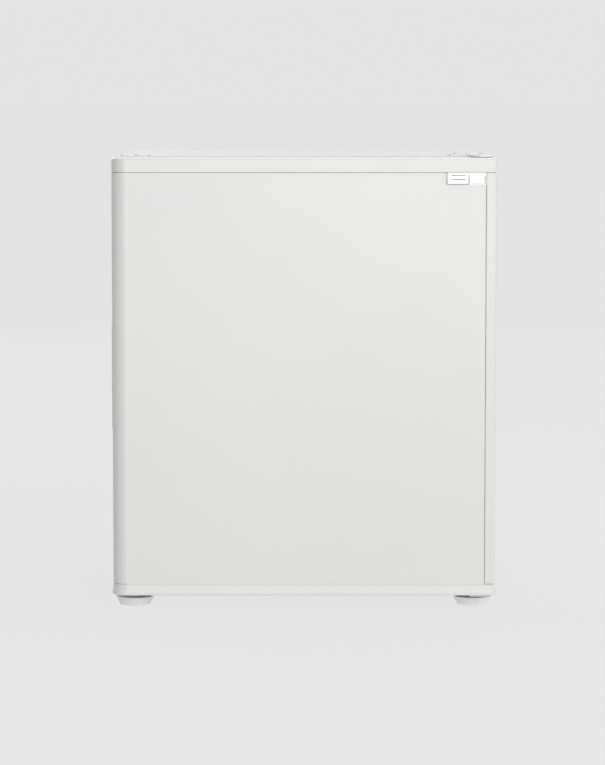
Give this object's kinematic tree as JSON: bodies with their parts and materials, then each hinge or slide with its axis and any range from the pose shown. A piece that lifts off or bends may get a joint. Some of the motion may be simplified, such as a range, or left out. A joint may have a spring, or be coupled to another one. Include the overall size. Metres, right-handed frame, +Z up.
{
  "type": "mini fridge",
  "caption": "White table-top compressor refrigerator with one right-hinged door, an ice box with a flap, wire shelves, door racks and a wire condenser behind.",
  "frame": {"origin": "on the floor, under the middle of the appliance's box", "axes": "+Z up, the door faces -Y, +X to the right as seen from the front"},
  "size_m": [0.43, 0.48, 0.512],
  "materials": {
    "cabinet_paint": "satin",
    "door_paint": "satin",
    "hinge_paint": "satin",
    "galvanised": "satin",
    "zinc_plate": "satin",
    "foam": "matte",
    "liner_plastic": "satin",
    "cap_plastic": "satin",
    "white_plastic": "satin",
    "foot_plastic": "matte",
    "black_rubber": "matte",
    "black_enamel": "satin",
    "condenser_enamel": "satin",
    "black_plastic": "matte",
    "copper": "satin",
    "aluminium": "satin",
    "flap_plastic": "satin",
    "tray_plastic": "satin",
    "knob_plastic": "satin",
    "shelf_coating": "satin",
    "seal": "matte",
    "magnet": "matte",
    "badge_metal": "polished",
    "rack_plastic": "satin"
  },
  "bodies": {
    "cabinet": {"outer_shell": "cabinet_paint", "back_panel": "galvanised", "bottom_panel": "galvanised", "front_rail": "cabinet_paint", "cabinet_foam": "foam", "inner_liner": "liner_plastic", "top_hinge_plate": "hinge_paint", "bottom_hinge_bracket": "zinc_plate", "hinge_pins": "zinc_plate", "left_foot_bracket": "zinc_plate", "hinge_screws": "zinc_plate", "hinge_hole_plugs": "white_plastic", "foot_nuts": "zinc_plate", "rear_feet": "black_rubber", "compressor_tray": "galvanised", "cable_gland": "black_rubber", "compressor_base": "black_enamel", "compressor_shell": "black_enamel", "compressor_grommets": "black_rubber", "compressor_bolts": "zinc_plate", "relay_cover": "black_plastic", "process_tube": "copper", "discharge_tube": "copper", "condenser_tube": "condenser_enamel", "condenser_wires": "condenser_enamel", "condenser_brackets": "condenser_enamel", "condenser_screws": "zinc_plate", "wall_spacers": "black_plastic", "liquid_line": "copper", "filter_drier": "copper", "capillary_tube": "copper", "suction_tube": "copper", "evaporator_box": "aluminium", "evaporator_screws": "zinc_plate", "ice_box_frame": "white_plastic", "tray_rails": "white_plastic", "thermostat_housing": "white_plastic", "thermostat_switch": "zinc_plate", "thermostat_bulb": "copper"},
    "door": {"door_panel": "door_paint", "door_edge_trim": "cap_plastic", "door_top_cap": "cap_plastic", "door_bottom_cap": "cap_plastic", "door_foam": "foam", "door_liner": "liner_plastic", "door_gasket": "seal", "gasket_magnets": "magnet", "grip_insert": "cap_plastic", "hinge_bushes": "knob_plastic", "door_hole_plugs": "cap_plastic", "badge_plate": "badge_metal"},
    "ice_flap": {"ice_door": "flap_plastic"},
    "knob": {"thermostat_knob": "knob_plastic"},
    "melt_tray": {"drip_tray": "tray_plastic"},
    "shelf_high": {"upper_shelf": "shelf_coating"},
    "shelf_low": {"lower_shelf": "shelf_coating"},
    "levelling_foot_left": {"foot_left": "foot_plastic"},
    "levelling_foot_right": {"foot_right": "foot_plastic"},
    "rack_low": {"bottle_rack": "rack_plastic"},
    "rack_high": {"upper_rack": "rack_plastic"}
  },
  "joints": [
    {"name": "door_swing", "type": "hinge", "parent": "cabinet", "child": "door", "pos_m": [0.2, -0.216, 0.25], "axis": [0, 0, 1], "range_deg": [0, 120]},
    {"name": "ice_flap_hinge", "type": "hinge", "parent": "cabinet", "child": "ice_flap", "pos_m": [-0.03, -0.093, 0.384], "axis": [1, 0, 0], "range_deg": [0, 90]},
    {"name": "thermostat_turn", "type": "hinge", "parent": "cabinet", "child": "knob", "pos_m": [0.144, -0.075, 0.427], "axis": [0, 1, 0], "range_deg": [0, 300]},
    {"name": "drip_tray_slide", "type": "slide", "parent": "cabinet", "child": "melt_tray", "axis": [0, -1, 0], "range_m": [0, 0.08]},
    {"name": "upper_shelf_slide", "type": "slide", "parent": "cabinet", "child": "shelf_high", "axis": [0, -1, 0], "range_m": [0, 0.02]},
    {"name": "lower_shelf_slide", "type": "slide", "parent": "cabinet", "child": "shelf_low", "axis": [0, -1, 0], "range_m": [0, 0.02]},
    {"name": "foot_left_screw", "type": "slide", "parent": "cabinet", "child": "levelling_foot_left", "axis": [0, 0, 1], "range_m": [-0.01, 0]},
    {"name": "foot_right_screw", "type": "slide", "parent": "cabinet", "child": "levelling_foot_right", "axis": [0, 0, 1], "range_m": [-0.01, 0]},
    {"name": "bottle_rack_lift", "type": "slide", "parent": "door", "child": "rack_low", "axis": [0, 0, 1], "range_m": [0, 0.012]},
    {"name": "upper_rack_lift", "type": "slide", "parent": "door", "child": "rack_high", "axis": [0, 0, 1], "range_m": [0, 0.012]}
  ]
}
